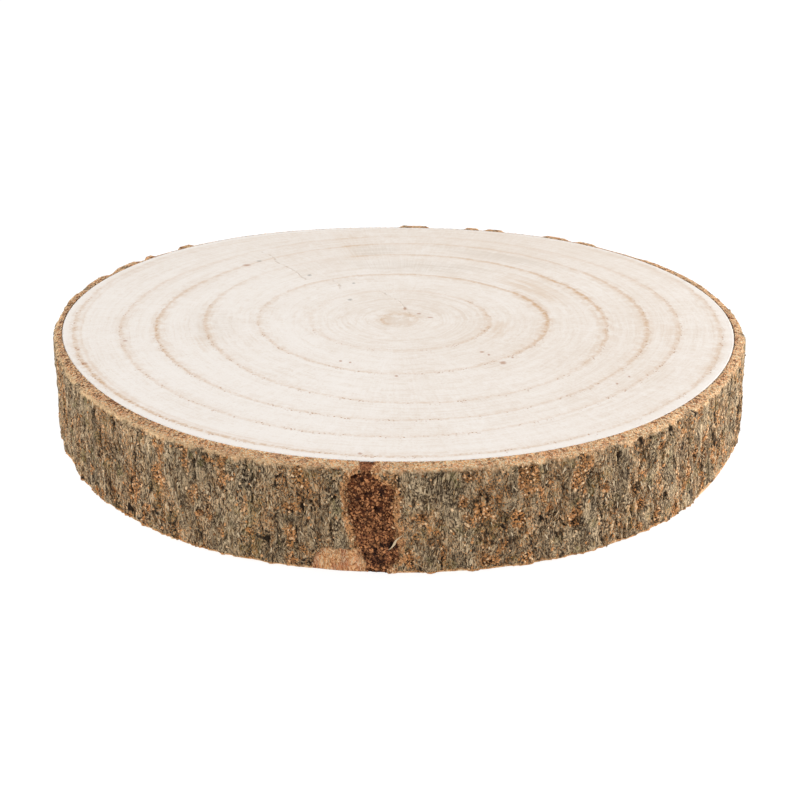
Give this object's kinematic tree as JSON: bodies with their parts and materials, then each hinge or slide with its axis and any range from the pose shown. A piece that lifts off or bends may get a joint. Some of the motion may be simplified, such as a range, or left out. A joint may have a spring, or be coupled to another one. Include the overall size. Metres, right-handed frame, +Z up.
{
  "type": "wood slice",
  "caption": "Flat slice sawn across a pale, wide-ringed tree stem, with rough grey-brown bark round its edge; used as a tray, stand or craft base.",
  "frame": {"origin": "bottom centre of the slice's box, on the flat sawn underside", "axes": "+Z up along the stem, through the slice's thickness; +X to the right and +Y away as seen from the side with the bark scar"},
  "size_m": [0.2424, 0.2374, 0.035],
  "materials": {
    "wood": "dry sanded end grain, unvarnished",
    "bark": "dry, rough, fibrous bark"
  },
  "bodies": {
    "root": {"wood_slice": "wood"}
  },
  "joints": []
}
